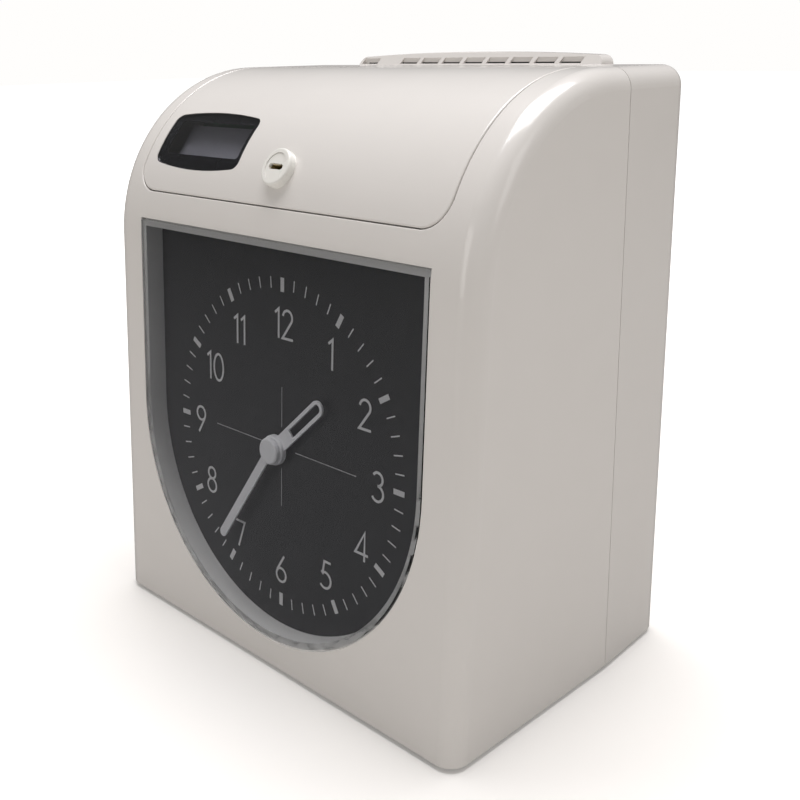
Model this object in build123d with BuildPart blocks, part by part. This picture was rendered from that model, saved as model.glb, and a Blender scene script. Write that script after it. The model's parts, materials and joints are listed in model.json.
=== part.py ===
from build123d import *
import os
from math import cos, pi, radians, sin, tan

os.makedirs("parts", exist_ok=True)

# A desk or wall punch time clock. Millimetres. The origin is the middle of the footprint, at the
# bottom of the rubber feet. +Z is up and the dial faces -Y.

# ---- Casing ----
shell_width = 205.0
shell_depth = 133.0
shell_height = 229.5
foot_height = 2.0
face_lean = 4.0
brow_radius = 71.0
wall = 2.5
edge_radius = 7.5
seam_depth = 90.6
seam_gap = 0.3
rear_draft = 4.0
rear_corner = 8.0
fit = 0.15

front_y = -shell_depth / 2
rear_y = shell_depth / 2
seam_y = front_y + seam_depth
top_z = foot_height + shell_height
lean = radians(face_lean)
brow_z = top_z - brow_radius
brow_y = front_y + (brow_radius + (brow_z - foot_height) * sin(lean)) / cos(lean)

# ---- Clock module, measured along the leaning face ----
clock_height = 89.0
window_half = 83.4
window_top = 82.3
window_round = 5.0
lens_gap = 0.6
lens_thick = 2.6
lens_proud = 0.6
lens_edge = 1.0
dial_depth = 9.8
dial_thick = 1.2
tray_wall = 3.2
tray_flange = 3.6
tray_flange_thick = 1.5

hour_angle = 48.0
minute_angle = 215.2
hand_thick = 0.8
hour_reach = 36.0
hour_width = 6.4
hour_slot_width = 3.5
hour_slot_start = 13.0
hour_hub_radius = 6.0
minute_reach = 54.8
minute_width = 3.9
minute_hub_radius = 5.3
hub_round = 0.9
hub_gap = 0.2
hour_level = -6.9
minute_level = -4.3
cap_level = -2.6
bush_proud = 2.5

running_fit = 0.05
arbor_radius = 1.0
pipe_radius = 2.0
bush_radius = 4.0
movement_size = 56.0
movement_depth = 17.0
movement_wall = 1.5
gear_thick = 1.6
cannon_teeth = 12
minute_teeth = 36
minute_pinion_teeth = 10
hour_teeth = 40
motion_centres = 12.0
stub_radius = 0.8

# ---- Top cover, hinge and lock ----
cover_x = -1.5
cover_half = 87.3
cover_low_angle = 19.7
cover_corner = 11.0
cover_gap = 0.4
cover_edge_round = 0.6
roll_radius = 3.5
hinge_pin_radius = 1.5
hinge_pin_length = 17.0
lug_width = 5.0
lock_angle = 31.0
lock_ring_lip = 1.0
lock_ring_round = 0.8
lock_proud = 3.2
lock_barrel_radius = 6.4
lock_plug_radius = 5.4
lock_recess = 0.3
lock_depth = 8.5
lock_face_thick = 1.2
keyway_width = 7.8
keyway_height = 2.3
cam_thick = 1.6
cam_reach = 20.0
cam_width = 8.0

# ---- Display and setting keys ----
display_angle = 38.9
display_x = -54.3
display_width = 56.0
display_height = 27.4
display_bulge = 2.4
display_corner = 4.0
display_fit = 0.2
display_thick = 2.0
mask_thick = 0.8
aperture_width = 49.0
aperture_height = 16.0
aperture_rise = 1.2
board_radius = 57.0
board_thick = 1.6
board_left = -83.0
board_right = 80.0
board_height = 40.0
lcd_width = 52.0
lcd_height = 22.0
lcd_thick = 5.0
key_count = 3
key_first_x = 30.0
key_pitch = 12.5
key_size = 8.0
key_travel = 0.8
key_cap_thick = 2.4
key_round = 0.6
switch_size = 9.0
switch_thick = 2.6

# ---- Card path and print unit, measured back from the front edge and up from the casing's bottom ----
card_front = 108.5
card_gap = 5.0
slot_half = 45.0
chute_thick = 1.2
chute_low = 58.0
chute_high = 214.0
plate_x = 64.0
plate_thick = 1.2
plate_front = 46.0
plate_rear = 126.0
plate_high = 205.0
rod_radius = 3.0
rod_height = 168.0
rod_depths = (72.0, 92.0)
carriage_half = 16.0
carriage_thick = 14.0
carriage_overhang = 6.0
head_half = 14.0
head_height = 20.0
head_nose_half = 6.0
nose_height = 10.0
ribbon_depth = 106.0
ribbon_thick = 0.4
ribbon_half = 51.0
cassette_half = 55.0
cassette_thick = 12.0
cassette_front = 62.0
cassette_rear = 103.0
cassette_arm = 4.0
knob_radius = 7.0
knob_height = 4.0
platen_half = 48.0
platen_height = 14.0
platen_depth = 8.0
pulley_x = 48.0
pulley_radius = 8.0
pulley_depth = 61.0
belt_width = 4.0
belt_thick = 1.0
belt_gap = 0.3
motor_radius = 14.0
carriage_motor_length = 17.0
feed_depth = 101.0
feed_height = 140.0
feed_shaft_radius = 3.0
feed_roller_radius = 9.7
roller_x = 30.0
roller_width = 8.0
card_pinch = 0.6
pinch_roller_radius = 8.2
pinch_shaft_radius = 2.0
feed_teeth = 40
drive_teeth = 12
feed_module = 0.8
feed_gear_thick = 5.0
feed_motor_angle = -150.0
feed_motor_length = 27.0

# ---- Hood behind the card slot ----
hood_half = 67.0
hood_height = 5.2
hood_front = 124.8
hood_ridge = 127.8
hood_rear_round = 1.5
hood_edge_round = 1.0
hood_wall = 1.5
hood_foot = 4.0
hood_end_round = 4.0
hood_arch = 1.6
hood_slot_pitch = 12.5
hood_slot_width = 11.6
hood_slot_x = 2.7
hood_slot_slant = 1.3
hood_slot_low = 0.5
hood_slot_height = 2.4
hood_vent_front = 126.6
hood_vent_rear = 129.6
hood_slots = (-5, -3, -2, -1, 0, 1, 2, 3, 4)

# ---- Base, fasteners, electrics ----
base_thick = 3.0
base_recess = 1.0
base_fit = 0.3
foot_radius = 7.0
foot_inset = 16.0
post_radius = 4.0
post_inset = 10.5
post_heights = (24.0, 200.0)
post_length = 20.0
screw_radius = 1.5
screw_clear = 0.3
screw_head_radius = 3.0
screw_head_thick = 2.0
base_post_height = 12.0
web_overlap = 0.5
lip_gap = 0.5
lip_thick = 1.0
lip_reach = 6.0
lip_low = 40.0
lip_high = 180.0
keyhole_spacing = 120.0
keyhole_height = 160.0
keyhole_radius = 4.25
keyhole_slot = 2.25
keyhole_rise = 8.0
inlet_x = 44.0
inlet_height = 34.0
inlet_width = 27.0
inlet_tall = 20.0
inlet_depth = 18.0
inlet_flange = 1.5
inlet_flange_width = 35.0
inlet_flange_tall = 26.0
inlet_wall = 1.5
inlet_pin_pitch = 7.0
inlet_pin_rise = 3.0
inlet_pin_width = 2.0
inlet_pin_tall = 4.0
inlet_pin_sunk = 2.0
vent_count = 7
vent_pitch = 8.0
vent_height = 34.0
vent_width = 3.0
main_board_depth = (52.0, 104.0)
main_board_height = (24.0, 116.0)
standoff = 6.0
core_size = (54.0, 30.0, 45.0)
coil_size = (34.0, 44.0, 26.0)
cell_radius = 7.0
cell_length = 50.0
cell_count = 3
speaker_radius = 20.0
speaker_depth = 14.0
speaker_x = -40.0
speaker_height = 32.0


def back(distance):
    """Y of a point this far behind the front bottom edge."""
    return front_y + distance


def up(height):
    """Z of a point this far above the casing's bottom edge."""
    return foot_height + height


def save(piece, name):
    """Name a finished piece and write it."""
    piece.part.label = name
    export_step(piece.part, f"parts/{name}.step")


face_plane = Plane(origin=(0, front_y, foot_height), x_dir=(1, 0, 0), z_dir=(0, -cos(lean), sin(lean)))


def clock_plane(level):
    """The plane square to the hands' axis, at a level in front of the leaning face."""
    origin = face_plane.from_local_coords(Vector(0, clock_height, level))
    return Plane(origin=origin, x_dir=(1, 0, 0), z_dir=face_plane.z_dir)


def brow_plane(angle, radius, x=0.0):
    """The plane touching a circle about the brow's axis, at an angle above level."""
    a = radians(angle)
    origin = (x, brow_y - radius * cos(a), brow_z + radius * sin(a))
    return Plane(origin=origin, x_dir=(1, 0, 0), z_dir=(0, -cos(a), sin(a)))


def cross_plane(x, depth, height):
    """A plane facing +X, with its origin at a depth and a height inside the casing."""
    return Plane(origin=(x, back(depth), up(height)), x_dir=(0, 1, 0), z_dir=(1, 0, 0))


def rear_plane(x, depth, height):
    """A plane facing +Y, with its origin at a depth and a height inside the casing."""
    return Plane(origin=(x, back(depth), up(height)), x_dir=(-1, 0, 0), z_dir=(0, 1, 0))


def front_block(inset, end_y, low_z):
    """The form of the front of the casing as one solid, drawn in by an inset."""
    radius = brow_radius - inset
    touch = (brow_y - radius * cos(lean), brow_z + radius * sin(lean))
    middle = radians((90 + face_lean) / 2)
    arch = (brow_y - radius * cos(middle), brow_z + radius * sin(middle))
    crown = (brow_y, brow_z + radius)
    toe = (touch[0] - (touch[1] - low_z) * tan(lean), low_z)
    with BuildPart() as block:
        with BuildSketch(Plane.YZ):
            with BuildLine():
                Line(toe, touch)
                ThreePointArc(touch, arch, crown)
                Polyline(crown, (end_y, crown[1]), (end_y, low_z), toe)
            make_face()
        extrude(amount=shell_width / 2 - inset, both=True)
        sides = block.faces().filter_by(Axis.X).edges()
        rounded = sides.filter_by(lambda e: e.center().Y < end_y - 0.5 and e.center().Z > low_z + 0.5)
        fillet(rounded, radius=max(edge_radius - inset, 1.0))
    return block.part


def rear_block(inset, start_y, low_z):
    """The form of the rear of the casing as one solid, drawn in by an inset."""
    slope = tan(radians(rear_draft))
    start_half = shell_width / 2 - inset - (start_y - seam_y) * slope
    end_y = rear_y - inset
    end_half = shell_width / 2 - inset - (end_y - seam_y) * slope
    with BuildPart() as block:
        with BuildSketch(Plane.XY.offset(low_z)) as plan:
            with BuildLine():
                Polyline(
                    (-start_half, start_y),
                    (start_half, start_y),
                    (end_half, end_y),
                    (-end_half, end_y),
                    close=True,
                )
            make_face()
            fillet(plan.vertices().group_by(Axis.Y)[-1], radius=rear_corner - inset)
        extrude(amount=top_z - inset - low_z)
        rim = block.faces().sort_by(Axis.Z)[-1].edges()
        fillet(rim.filter_by(lambda e: e.center().Y > start_y + 0.5), radius=max(edge_radius - inset, 1.0))
    return block.part


def clock_outline(grow):
    """The window's outline: square shoulders over a half circle."""
    half = window_half + grow
    shoulder = window_top + grow
    with BuildSketch() as outline:
        with BuildLine():
            Polyline((-half, window_round), (-half, shoulder), (half, shoulder), (half, window_round))
            ThreePointArc((half, window_round), (0, window_round - half), (-half, window_round))
        make_face()
    return outline.sketch


def cover_prism(grow):
    """A block standing on the cover's outline, through the brow."""
    tilt = cover_low_angle + 10.0
    low = brow_radius * sin(radians(cover_low_angle - tilt)) - grow
    high = 2 * brow_radius
    with BuildPart() as prism:
        with BuildSketch(brow_plane(tilt, brow_radius)) as outline:
            with Locations((cover_x, (low + high) / 2)):
                Rectangle(2 * (cover_half + grow), high - low)
            fillet(outline.vertices().group_by(Axis.Z)[0], radius=cover_corner + grow)
        extrude(amount=brow_radius, both=True)
    return prism.part


def cover_rim(piece, grow):
    """The outer edges of a piece along the cover's outline."""
    half = cover_half + grow
    low_z = brow_z + brow_radius * sin(radians(cover_low_angle)) - grow - 1.0

    def on_rim(edge):
        place = edge.center()
        out = ((place.Y - brow_y) ** 2 + (place.Z - brow_z) ** 2) ** 0.5
        reach = abs(place.X - cover_x)
        on_skin = abs(out - brow_radius) < 0.4 if place.Y < brow_y - 0.01 else abs(place.Z - top_z) < 0.01
        along_side = abs(reach - half) < 0.01
        along_foot = reach < half - 0.02 and place.Z < low_z + cover_corner and place.Z > low_z - 1.0
        return on_skin and (along_side or along_foot)

    return piece.edges().filter_by(on_rim)


def display_prism(grow):
    """A block standing on the display window's outline, through the brow."""
    half = display_width / 2 + grow
    rise = display_height / 2 + grow
    shoulder = rise - display_bulge
    with BuildPart() as prism:
        with BuildSketch(brow_plane(display_angle, brow_radius, display_x)) as outline:
            with BuildLine():
                ThreePointArc((-half, shoulder), (0, rise), (half, shoulder))
                Line((half, shoulder), (half, -shoulder))
                ThreePointArc((half, -shoulder), (0, -rise), (-half, -shoulder))
                Line((-half, -shoulder), (-half, shoulder))
            make_face()
            fillet(outline.vertices(), radius=display_corner + grow)
        extrude(amount=wall * 3, both=True)
    return prism.part


def gear_outline(teeth, module, turn):
    """A gear's face: slim teeth with straight flanks, one of them at the given angle."""
    root = module * (teeth / 2 - 1.2)
    tip = module * (teeth / 2 + 0.9)
    pitch = 360 / teeth
    points = []
    for tooth in range(teeth):
        middle = turn + tooth * pitch
        for radius, share in ((root, -0.30), (tip, -0.12), (tip, 0.12), (root, 0.30)):
            a = radians(middle + share * pitch)
            points.append((radius * cos(a), radius * sin(a)))
    with BuildSketch() as outline:
        with BuildLine():
            Polyline(*points, close=True)
        make_face()
    return outline.sketch


def disc(plane, radius, length, bore=0.0):
    """A round piece standing on a plane, with a bore if one is given."""
    with BuildPart() as piece:
        with BuildSketch(plane):
            Circle(radius)
            if bore:
                Circle(bore, mode=Mode.SUBTRACT)
        extrude(amount=length)
    return piece.part


def block_between(x_range, depth_range, height_range):
    """A square block between two sides, two depths and two heights inside the casing."""
    with BuildPart() as piece:
        with BuildSketch(Plane.XY.offset(up(height_range[0]))):
            with Locations(((x_range[0] + x_range[1]) / 2, back((depth_range[0] + depth_range[1]) / 2))):
                Rectangle(x_range[1] - x_range[0], depth_range[1] - depth_range[0])
        extrude(amount=height_range[1] - height_range[0])
    return piece.part


# ---- Shared places worked out from the driving sizes ----
inner_half = shell_width / 2 - wall
hinge_y = seam_y - roll_radius - cover_gap
hinge_z = top_z - roll_radius
post_x = shell_width / 2 - post_inset
clock_back = -dial_depth - dial_thick
card_rear = card_front + card_gap
card_middle = card_front + card_gap / 2
pinch_depth = card_middle + card_pinch / 2 + pinch_roller_radius
print_height = rod_height + carriage_thick / 2 + head_height / 2 + 2
feed_module_distance = feed_module * (feed_teeth + drive_teeth) / 2
feed_motor_depth = feed_depth + feed_module_distance * cos(radians(feed_motor_angle))
feed_motor_height = feed_height + feed_module_distance * sin(radians(feed_motor_angle))
base_low = base_recess
base_high = base_recess + base_thick
base_posts = ((post_x - 1.5, 16.0), (post_x - 4.0, shell_depth - wall - 8.0))


# ---- Front housing: leaning face, brow, window and cover opening ----
with BuildPart() as front_housing:
    add(front_block(0, seam_y, foot_height))
    add(front_block(wall, seam_y + wall, foot_height - wall), mode=Mode.SUBTRACT)
    with BuildSketch(clock_plane(0)):
        add(clock_outline(0))
    extrude(amount=4 * wall, both=True, mode=Mode.SUBTRACT)
    add(cover_prism(cover_gap), mode=Mode.SUBTRACT)
    fillet(cover_rim(front_housing, cover_gap), radius=cover_edge_round)
    for side in (-1, 1):
        for height in post_heights:
            with BuildSketch(rear_plane(side * post_x, seam_depth, height)):
                Circle(post_radius)
                with Locations((-side * (inner_half - post_x) / 2, 0)):
                    Rectangle(inner_half - post_x + wall, post_radius)
            extrude(amount=-post_length)
            with BuildSketch(rear_plane(side * post_x, seam_depth, height)):
                Circle(screw_radius)
            extrude(amount=-post_length, mode=Mode.SUBTRACT)
        lug_x = cover_x + side * (cover_half + 2 * cover_gap + lug_width / 2)
        with BuildSketch(Plane.XY.offset(hinge_z - roll_radius)):
            with Locations((lug_x, hinge_y)):
                Rectangle(lug_width, 2 * roll_radius)
        extrude(amount=2 * roll_radius - wall / 2)
        with BuildSketch(Plane(origin=(lug_x, hinge_y, hinge_z), x_dir=(0, 1, 0), z_dir=(1, 0, 0))):
            Circle(hinge_pin_radius + running_fit)
        extrude(amount=lug_width, both=True, mode=Mode.SUBTRACT)
        base_x, base_depth = base_posts[0]
        with BuildSketch(Plane.XY.offset(up(base_high))):
            with Locations((side * base_x, back(base_depth))):
                Circle(post_radius)
                Circle(screw_radius, mode=Mode.SUBTRACT)
            web_start = base_x + post_radius - web_overlap
            web_end = inner_half + web_overlap
            with Locations((side * (web_start + web_end) / 2, back(base_depth))):
                Rectangle(web_end - web_start, post_radius)
        extrude(amount=base_post_height)
        lip_x = side * (inner_half - lip_gap - lip_thick / 2)
        with BuildSketch(Plane.XY.offset(up(lip_low))):
            with Locations((lip_x, seam_y)):
                Rectangle(lip_thick, lip_reach)
            with Locations((side * (inner_half - lip_gap / 2), seam_y - lip_reach / 3)):
                Rectangle(lip_gap + 2 * web_overlap, lip_reach / 3)
        extrude(amount=lip_high - lip_low)
save(front_housing, "front_housing")


hollow_half = hood_half - hood_end_round - hood_wall / 2


def hood_vent(drop):
    """The opening through the casing's top, under the hood, this far down and a little up."""
    with BuildPart() as vent:
        with BuildSketch(Plane.XY.offset(top_z - drop - 1.0)):
            with Locations((0, back((hood_vent_front + hood_vent_rear) / 2))):
                Rectangle(2 * hollow_half, hood_vent_rear - hood_vent_front)
        extrude(amount=drop + 2.0)
    return vent.part


# ---- Rear housing: card slot, vents, keyholes, screw pillars ----
with BuildPart() as rear_housing:
    add(rear_block(0, seam_y + seam_gap, foot_height))
    add(rear_block(wall, seam_y - wall, foot_height - wall), mode=Mode.SUBTRACT)
    with BuildSketch(Plane.XY.offset(top_z - 2 * wall)):
        with Locations((0, back(card_middle))):
            SlotOverall(2 * slot_half + card_gap, card_gap)
    extrude(amount=4 * wall, mode=Mode.SUBTRACT)
    add(hood_vent(wall), mode=Mode.SUBTRACT)
    for side in (-1, 1):
        for height in post_heights:
            with BuildSketch(rear_plane(side * post_x, seam_depth, height)):
                Circle(post_radius)
            extrude(amount=shell_depth - seam_depth - wall / 2)
            with BuildSketch(rear_plane(side * post_x, seam_depth, height)):
                Circle(screw_radius + screw_clear)
            extrude(amount=shell_depth, mode=Mode.SUBTRACT)
            with BuildSketch(rear_plane(side * post_x, shell_depth - screw_head_thick - 1, height)):
                Circle(screw_head_radius + screw_clear)
            extrude(amount=wall * 2, mode=Mode.SUBTRACT)
        base_x, base_depth = base_posts[1]
        with BuildSketch(Plane.XY.offset(up(base_high))):
            with Locations((side * base_x, back(base_depth))):
                Circle(post_radius)
                Circle(screw_radius, mode=Mode.SUBTRACT)
            web_start = base_depth + post_radius - web_overlap
            web_end = shell_depth - wall + web_overlap
            with Locations((side * base_x, back((web_start + web_end) / 2))):
                Rectangle(post_radius, web_end - web_start)
        extrude(amount=base_post_height)
        with BuildSketch(rear_plane(side * keyhole_spacing / 2, shell_depth, keyhole_height)):
            Circle(keyhole_radius)
            with Locations((0, keyhole_rise / 2)):
                Rectangle(2 * keyhole_slot, keyhole_rise)
            with Locations((0, keyhole_rise)):
                Circle(keyhole_slot)
        extrude(amount=-2 * wall, mode=Mode.SUBTRACT)
    with BuildSketch(rear_plane(0, shell_depth, 100.0)):
        with GridLocations(vent_pitch, vent_height + 8.0, vent_count, 2):
            SlotOverall(vent_height, vent_width, rotation=90)
    extrude(amount=-2 * wall, mode=Mode.SUBTRACT)
    with BuildSketch(rear_plane(inlet_x, shell_depth, inlet_height)):
        Rectangle(inlet_width + fit, inlet_tall + fit)
    extrude(amount=-2 * wall, mode=Mode.SUBTRACT)
    with BuildSketch(rear_plane(inlet_x, shell_depth, inlet_height)):
        Rectangle(inlet_flange_width + 2 * fit, inlet_flange_tall + 2 * fit)
    extrude(amount=-inlet_flange, mode=Mode.SUBTRACT)
save(rear_housing, "rear_housing")


# ---- Card hood: the raised rest behind the slot, with a comb of openings in its front slope ----
hood_top = top_z + hood_height
with BuildPart() as card_hood:
    with BuildSketch(Plane.YZ):
        with BuildLine():
            Polyline(
                (back(hood_front), top_z),
                (back(hood_ridge), hood_top),
                (rear_y - hood_rear_round, hood_top),
                (rear_y, hood_top - hood_rear_round),
                (rear_y, top_z - hood_foot),
                (back(hood_front), top_z - hood_foot),
                close=True,
            )
        make_face()
    extrude(amount=hood_half, both=True)
    long_edges = card_hood.edges().filter_by(Axis.X)
    crown_edges = long_edges.filter_by(lambda e: e.center().Z > top_z + hood_height / 2)
    fillet(crown_edges, radius=hood_edge_round)
    with BuildSketch(Plane.XZ.offset(-rear_y)):
        shoulder = (hood_half - hood_end_round, hood_top - hood_arch)
        hip = (hood_half, top_z)
        bend = (
            hood_half - hood_end_round * (1 - sin(pi / 4)),
            top_z + (hood_height - hood_arch) * cos(pi / 4),
        )
        with BuildLine():
            ThreePointArc((-shoulder[0], shoulder[1]), (0, hood_top), shoulder)
            ThreePointArc(shoulder, bend, hip)
            Polyline(hip, (hip[0], top_z - hood_foot), (-hip[0], top_z - hood_foot), (-hip[0], hip[1]))
            ThreePointArc((-hip[0], hip[1]), (-bend[0], bend[1]), (-shoulder[0], shoulder[1]))
        make_face()
    extrude(amount=shell_depth, mode=Mode.INTERSECT)
    add(rear_block(0, seam_y + seam_gap, foot_height), mode=Mode.SUBTRACT)
    hollow_high = hood_height - hood_arch - hood_wall
    with BuildSketch(Plane.YZ):
        with BuildLine():
            Polyline(
                (back(hood_front + 1.2 * hood_wall), top_z),
                (back(hood_ridge + hood_wall / 2), top_z + hollow_high),
                (rear_y - hood_wall, top_z + hollow_high),
                (rear_y - hood_wall, top_z),
                close=True,
            )
        make_face()
    extrude(amount=hollow_half, both=True, mode=Mode.SUBTRACT)
    add(hood_vent(hood_foot), mode=Mode.SUBTRACT)
    slot_low = top_z + hood_slot_low
    slot_high = slot_low + hood_slot_height
    with BuildSketch(Plane.XZ.offset(-back(hood_front - 1.0))):
        for position in hood_slots:
            slot_left = hood_slot_x + position * hood_slot_pitch - hood_slot_width / 2
            slot_right = slot_left + hood_slot_width
            with BuildLine():
                Polyline(
                    (slot_left, slot_low),
                    (slot_right - hood_slot_slant, slot_low),
                    (slot_right, slot_high),
                    (slot_left + hood_slot_slant, slot_high),
                    close=True,
                )
            make_face()
    extrude(amount=-(hood_ridge - hood_front), mode=Mode.SUBTRACT)
save(card_hood, "card_hood")


# ---- Base plate, feet and screws ----
with BuildPart() as base_plate:
    with BuildSketch(Plane.XY.offset(up(base_low))) as base_sketch:
        rear_half = inner_half - (shell_depth - seam_depth) * tan(radians(rear_draft))
        toe_y = front_y + wall / cos(lean) + base_high * tan(lean) + base_fit
        with BuildLine():
            Polyline(
                (-inner_half + base_fit, toe_y),
                (inner_half - base_fit, toe_y),
                (inner_half - base_fit, seam_y),
                (rear_half - base_fit, rear_y - wall - base_fit),
                (-rear_half + base_fit, rear_y - wall - base_fit),
                (-inner_half + base_fit, seam_y),
                close=True,
            )
        make_face()
        fillet(base_sketch.vertices().group_by(Axis.Y)[0], radius=edge_radius - wall)
        fillet(base_sketch.vertices().group_by(Axis.Y)[-1], radius=rear_corner - wall)
        for base_x, base_depth in base_posts:
            with Locations((base_x, back(base_depth)), (-base_x, back(base_depth))):
                Circle(screw_radius + screw_clear, mode=Mode.SUBTRACT)
    extrude(amount=base_thick)
save(base_plate, "base_plate")

with BuildPart() as rubber_feet:
    with BuildSketch(Plane.XY):
        with GridLocations(shell_width - 5 * foot_inset, shell_depth - 2.5 * foot_inset, 2, 2):
            Circle(foot_radius)
    extrude(amount=foot_height + base_recess)
    fillet(rubber_feet.faces().sort_by(Axis.Z)[0:4].edges(), radius=0.8)
save(rubber_feet, "rubber_feet")

with BuildPart() as case_screws:
    for base_x, base_depth in base_posts:
        with Locations((base_x, back(base_depth), up(base_low)), (-base_x, back(base_depth), up(base_low))):
            Cylinder(screw_head_radius, base_recess, align=(Align.CENTER, Align.CENTER, Align.MAX))
            Cylinder(
                screw_radius - running_fit,
                base_thick + base_post_height - 2.0,
                align=(Align.CENTER, Align.CENTER, Align.MIN),
            )
    for side in (-1, 1):
        for height in post_heights:
            seat = shell_depth - screw_head_thick - 1
            with BuildSketch(rear_plane(side * post_x, seat, height)):
                Circle(screw_head_radius)
            extrude(amount=screw_head_thick)
            with BuildSketch(rear_plane(side * post_x, seat, height)):
                Circle(screw_radius - running_fit)
            extrude(amount=-(seat - seam_depth + post_length - 4.0))
            with BuildSketch(rear_plane(side * post_x, seat + screw_head_thick, height)):
                Rectangle(3.6, 0.8)
                Rectangle(0.8, 3.6)
            extrude(amount=-1.2, mode=Mode.SUBTRACT)
save(case_screws, "case_screws")


# ---- Clock module: tray, lens, dial ----
lens_back = lens_proud - lens_thick
with BuildPart() as clock_tray:
    with BuildSketch(clock_plane(lens_back)):
        add(clock_outline(-lens_gap))
        add(clock_outline(-tray_wall), mode=Mode.SUBTRACT)
    extrude(amount=-(dial_depth + lens_back))
    with BuildSketch(clock_plane(-wall - tray_flange_thick)):
        add(clock_outline(tray_flange))
        add(clock_outline(-tray_wall), mode=Mode.SUBTRACT)
    extrude(amount=tray_flange_thick)
    add(front_housing.part, mode=Mode.SUBTRACT)
save(clock_tray, "clock_tray")

with BuildPart() as clock_lens:
    with BuildSketch(clock_plane(lens_back)):
        add(clock_outline(-lens_gap))
    extrude(amount=lens_thick)
    rim = clock_lens.faces().filter_by(lambda f: f.normal_at().dot(face_plane.z_dir) > 0.99).edges()
    fillet(rim, radius=lens_edge)
save(clock_lens, "clock_lens")

with BuildPart() as dial_plate:
    with BuildSketch(clock_plane(clock_back)):
        add(clock_outline(-lens_gap))
        Circle(bush_radius + running_fit, mode=Mode.SUBTRACT)
    extrude(amount=dial_thick)
save(dial_plate, "dial_plate")

# ---- Hands, each on its own arbor ----
bush_front = bush_proud - dial_depth
hour_hub_low = bush_front + hub_gap
minute_hub_low = minute_level - hub_gap
hour_hub_high = minute_hub_low - hub_gap


def outer_rim(piece):
    """The edge around the foremost face of a piece on the dial."""
    return piece.faces().sort_by(Axis((0, 0, 0), face_plane.z_dir))[-1].edges()


with BuildPart() as hour_hand:
    turn = 90 - hour_angle
    tip_reach = hour_reach - hour_width / 2
    slot_tip = (tip_reach * cos(radians(turn)), tip_reach * sin(radians(turn)))
    slot_middle = (tip_reach + hour_slot_start) / 2
    with BuildSketch(clock_plane(hour_hub_low)):
        Circle(hour_hub_radius)
    extrude(amount=hour_hub_high - hour_hub_low)
    fillet(outer_rim(hour_hand), radius=hub_round)
    with BuildSketch(clock_plane(hour_level)):
        with Locations((hour_reach / 2 * cos(radians(turn)), hour_reach / 2 * sin(radians(turn)))):
            SlotOverall(hour_reach, hour_width, rotation=turn)
        with Locations((slot_middle * cos(radians(turn)), slot_middle * sin(radians(turn)))):
            Rectangle(tip_reach - hour_slot_start, hour_slot_width, rotation=turn, mode=Mode.SUBTRACT)
        with Locations(slot_tip):
            Circle(hour_slot_width / 2, mode=Mode.SUBTRACT)
    extrude(amount=hand_thick)
    with BuildSketch(clock_plane(hour_hub_low)):
        Circle(pipe_radius + running_fit)
    extrude(amount=hour_hub_high - hour_hub_low, mode=Mode.SUBTRACT)
save(hour_hand, "hour_hand")

with BuildPart() as minute_hand:
    turn = 90 - minute_angle
    with BuildSketch(clock_plane(minute_hub_low)):
        Circle(minute_hub_radius)
    extrude(amount=cap_level - minute_hub_low)
    fillet(outer_rim(minute_hand), radius=hub_round)
    with BuildSketch(clock_plane(minute_level)):
        with Locations((minute_reach / 2 * cos(radians(turn)), minute_reach / 2 * sin(radians(turn)))):
            SlotOverall(minute_reach, minute_width, rotation=turn)
    extrude(amount=hand_thick)
    with BuildSketch(clock_plane(minute_hub_low)):
        Circle(arbor_radius + running_fit)
    extrude(amount=minute_level + hand_thick - minute_hub_low, mode=Mode.SUBTRACT)
save(minute_hand, "minute_hand")


# ---- Movement: case and motion works ----
case_front = clock_back
gear_level = case_front - movement_wall - 0.6 - gear_thick
low_level = gear_level - gear_thick - 0.8
cannon_module = 2 * motion_centres / (cannon_teeth + minute_teeth)
hour_module = 2 * motion_centres / (minute_pinion_teeth + hour_teeth)

with BuildPart() as movement_case:
    with BuildSketch(clock_plane(case_front - movement_depth + movement_wall)):
        RectangleRounded(movement_size, movement_size, 4.0)
    extrude(amount=movement_depth - movement_wall)
    with BuildSketch(clock_plane(case_front - movement_depth + movement_wall)):
        RectangleRounded(movement_size - 2 * movement_wall, movement_size - 2 * movement_wall, 2.5)
    extrude(amount=movement_depth - 2 * movement_wall, mode=Mode.SUBTRACT)
    with BuildSketch(clock_plane(case_front)):
        Circle(bush_radius)
    extrude(amount=bush_front - case_front)
    with BuildSketch(clock_plane(case_front - movement_wall)):
        Circle(pipe_radius + running_fit)
    extrude(amount=bush_front - case_front + movement_wall, mode=Mode.SUBTRACT)
save(movement_case, "movement_case")

with BuildPart() as movement_back:
    with BuildSketch(clock_plane(case_front - movement_depth)):
        RectangleRounded(movement_size, movement_size, 4.0)
        with Locations((0, -motion_centres)):
            Circle(stub_radius + running_fit, mode=Mode.SUBTRACT)
    extrude(amount=movement_wall)
    with BuildSketch(clock_plane(case_front - movement_depth + movement_wall)):
        Circle(arbor_radius * 2)
    extrude(amount=1.5)
    with BuildSketch(clock_plane(case_front - movement_depth + movement_wall)):
        Circle(arbor_radius + running_fit)
    extrude(amount=1.5, mode=Mode.SUBTRACT)
save(movement_back, "movement_back")

with BuildPart() as hour_wheel:
    with BuildSketch(clock_plane(gear_level)):
        add(gear_outline(hour_teeth, hour_module, 180 / hour_teeth - 90))
    extrude(amount=gear_thick)
    with BuildSketch(clock_plane(gear_level)):
        Circle(pipe_radius)
    extrude(amount=hour_hub_high - gear_level)
    with BuildSketch(clock_plane(gear_level)):
        Circle(arbor_radius + running_fit)
    extrude(amount=hour_hub_high - gear_level, mode=Mode.SUBTRACT)
save(hour_wheel, "hour_wheel")

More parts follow.
